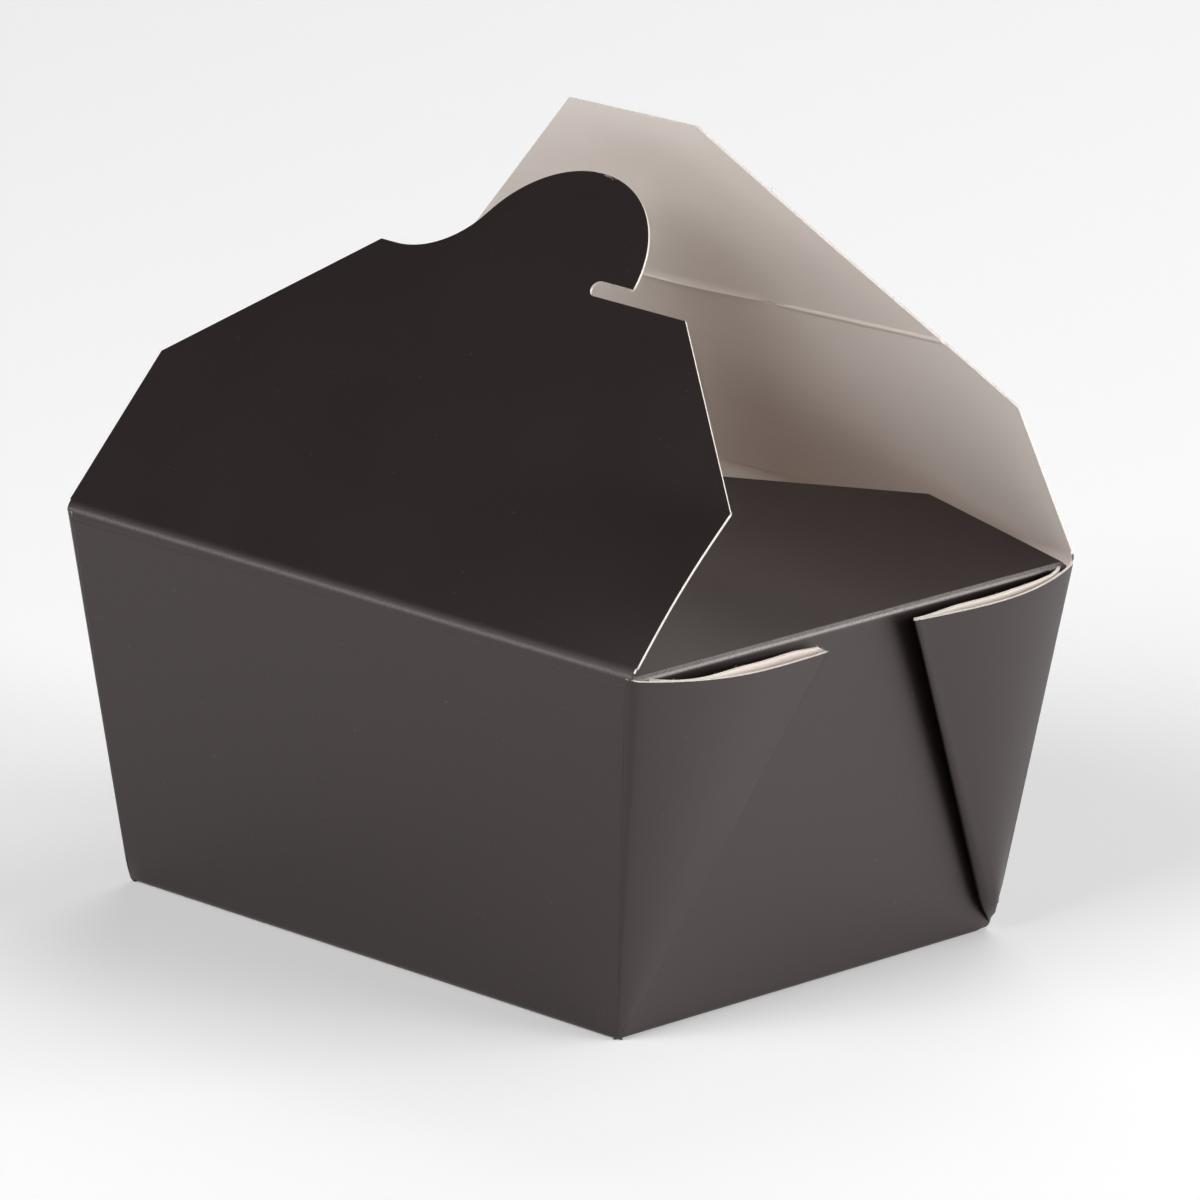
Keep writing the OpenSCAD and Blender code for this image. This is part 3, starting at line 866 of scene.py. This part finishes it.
def flap_fibres(place, flip, spots):
    def fill(bm, chance):
        for spot in spots:
            tuft(bm, chance, place, flip, spot)
    return fill


def fibre_piece(name, body, fill, seed):
    """A piece made of torn fibres; fill adds them to its mesh."""
    bm = bmesh.new()
    fill(bm, random.Random(seed))
    bmesh.ops.scale(bm, vec=(MM, MM, MM), verts=bm.verts)
    bmesh.ops.recalc_face_normals(bm, faces=bm.faces[:])
    mesh = bpy.data.meshes.new(name)
    bm.to_mesh(mesh)
    bm.free()
    mesh.materials.append(MATERIALS[CUT])
    made = bpy.data.objects.new(name, mesh)
    bpy.context.scene.collection.objects.link(made)
    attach(made, body)


def rim_fibres(bm, chance):
    """Fibres along the cut rims of the four webs."""
    for web, y, count in ((FRONT_WEB, 1, 26), (BACK_WEB, -1, 12)):
        line = web.profile()
        for x in (1, -1):
            flip = Vector((x, y, 1))
            for _ in range(count):
                d, angle, swell = line[chance.randrange(8, len(line) - 1)]
                distance = web.cut(angle)
                root = APEX + d * (distance - 0.1) + swell * web.swell(distance)
                side = Vector((chance.uniform(-1, 1), chance.uniform(-1, 1), 0)).normalized()
                length, width = chance.uniform(0.2, 0.45), chance.uniform(0.07, 0.13)
                strand(bm, root * flip, (d * flip).normalized(), side, length, width, chance.uniform(-0.5, 0.5))


# ---------------------------------------------------------------- stage, lamps and camera

# Metres from here on
FLOOR_RADIUS, FLOOR_DROP = 5.0, 0.00005
FLOOR_COLOUR = (0.86, 0.86, 0.86, 1)
FLOOR_GLOW = 0.2         # seen by the camera and in reflections only, so it puts no light on the box

WORLD_LIGHT = 0.02
LAMP_DISTANCE, LAMP_AIM = 1.6, Vector((0, 0, 0.05))
# Lamps on a sphere round the box: name, azimuth and elevation in degrees, size in metres, watts
LAMPS = (
    ("window", 50, 14, 0.9, 12),
    ("side", 20, 14, 0.9, 17),
    ("left", 240, 20, 0.9, 5.5),
    ("front", 270, 40, 0.9, 12.5),
    ("top", 0, 90, 0.9, 0.5),
    ("back", 125, 40, 0.9, 5.5),
    ("high", 75, 60, 0.9, 3.5),
)

# The photo's camera, worked out from the box's corners: axes to the right, up and back, place and lens
CAMERA_AXES = (
    (0.7165933940585966, 0.6970657248226304, 0.024357398651782602),
    (-0.2121721828824615, 0.1845834736358961, 0.9596415508258267),
    (0.6644372599444377, -0.6928407584272214, 0.2801692543080349),
)
CAMERA_PLACE = (1.31436, -1.36272, 0.60522)
CAMERA_SENSOR, CAMERA_LENS = 36, 360
CAMERA_NEAR, CAMERA_FAR = 0.05, 30


def stage():
    made = bpy.data.materials.new("studio_floor")
    made.use_nodes = True
    nodes, links = made.node_tree.nodes, made.node_tree.links
    nodes.clear()
    diffuse = nodes.new("ShaderNodeBsdfDiffuse")
    diffuse.inputs["Color"].default_value = FLOOR_COLOUR
    glow = nodes.new("ShaderNodeEmission")
    path = nodes.new("ShaderNodeLightPath")
    seen = calculated(nodes, links, "MAXIMUM", path.outputs["Is Camera Ray"], path.outputs["Is Glossy Ray"])
    links.new(calculated(nodes, links, "MULTIPLY", seen, FLOOR_GLOW), glow.inputs["Strength"])
    add = nodes.new("ShaderNodeAddShader")
    out = nodes.new("ShaderNodeOutputMaterial")
    links.new(diffuse.outputs[0], add.inputs[0])
    links.new(glow.outputs[0], add.inputs[1])
    links.new(add.outputs[0], out.inputs["Surface"])
    mesh = bpy.data.meshes.new("floor")
    bm = bmesh.new()
    bmesh.ops.create_circle(bm, cap_ends=True, segments=96, radius=FLOOR_RADIUS)
    bm.to_mesh(mesh)
    bm.free()
    mesh.materials.append(made)
    floor = bpy.data.objects.new("floor", mesh)
    floor.location.z = -FLOOR_DROP
    bpy.context.scene.collection.objects.link(floor)


def lamp(name, azimuth, elevation, size, power):
    a, e = math.radians(azimuth), math.radians(elevation)
    data = bpy.data.lights.new(name, "AREA")
    data.shape = "DISK"
    data.size = size
    data.energy = power
    made = bpy.data.objects.new(name, data)
    made.location = LAMP_DISTANCE * Vector((math.cos(a) * math.cos(e), math.sin(a) * math.cos(e), math.sin(e)))
    made.rotation_mode = "QUATERNION"
    made.rotation_quaternion = (LAMP_AIM - made.location).to_track_quat("-Z", "Y")
    bpy.context.scene.collection.objects.link(made)


def lighting():
    world = bpy.data.worlds.new("studio")
    world.use_nodes = True
    background = world.node_tree.nodes["Background"]
    background.inputs["Color"].default_value = (1, 1, 1, 1)
    background.inputs["Strength"].default_value = WORLD_LIGHT
    bpy.context.scene.world = world
    for values in LAMPS:
        lamp(*values)


def camera():
    data = bpy.data.cameras.new("camera")
    data.sensor_width = CAMERA_SENSOR
    data.lens = CAMERA_LENS
    data.clip_start, data.clip_end = CAMERA_NEAR, CAMERA_FAR
    made = bpy.data.objects.new("camera", data)
    bpy.context.scene.collection.objects.link(made)
    turned = Matrix(CAMERA_AXES).transposed().to_4x4()
    made.matrix_world = Matrix.Translation(Vector(CAMERA_PLACE)) @ turned
    bpy.context.scene.camera = made


MATERIALS = [black_board(), silver_lining(), cut_edge()]
# Cuts of the back flap's mesh beside its score
SCORE_CUTS = (-0.9, -0.4, -0.2, -SLIT_GAP / 2, SLIT_GAP / 2, 0.2, 0.4, 0.7, 1.1, 1.7)

carton_sheet()
lid_flap("front_lid_flap", "front_lid", "front_flap", front_outline(), front_place, 1)
lid_flap("back_lid_flap", "back_lid", "back_flap", back_outline(), back_place, -1,
         x_cuts=(-SLIT_LENGTH / 2, SLIT_LENGTH / 2),
         y_cuts=[BACK_SCORE + d for d in SCORE_CUTS],
         hole=(SLIT_LENGTH / 2, BACK_SCORE - SLIT_GAP / 2, BACK_SCORE + SLIT_GAP / 2))
crease_strip("front_crease_strip", front_place, -1)
crease_strip("back_crease_strip", back_place, 1)
fibre_piece("front_lid_fibres", "front_lid", flap_fibres(front_place, 1, FRONT_TEARS), 3)
fibre_piece("back_lid_fibres", "back_lid", flap_fibres(back_place, -1, BACK_TEARS), 5)
fibre_piece("rim_fibres", "tray", rim_fibres, 11)
stage()
lighting()
camera()

bpy.context.scene.view_settings.view_transform = "Standard"
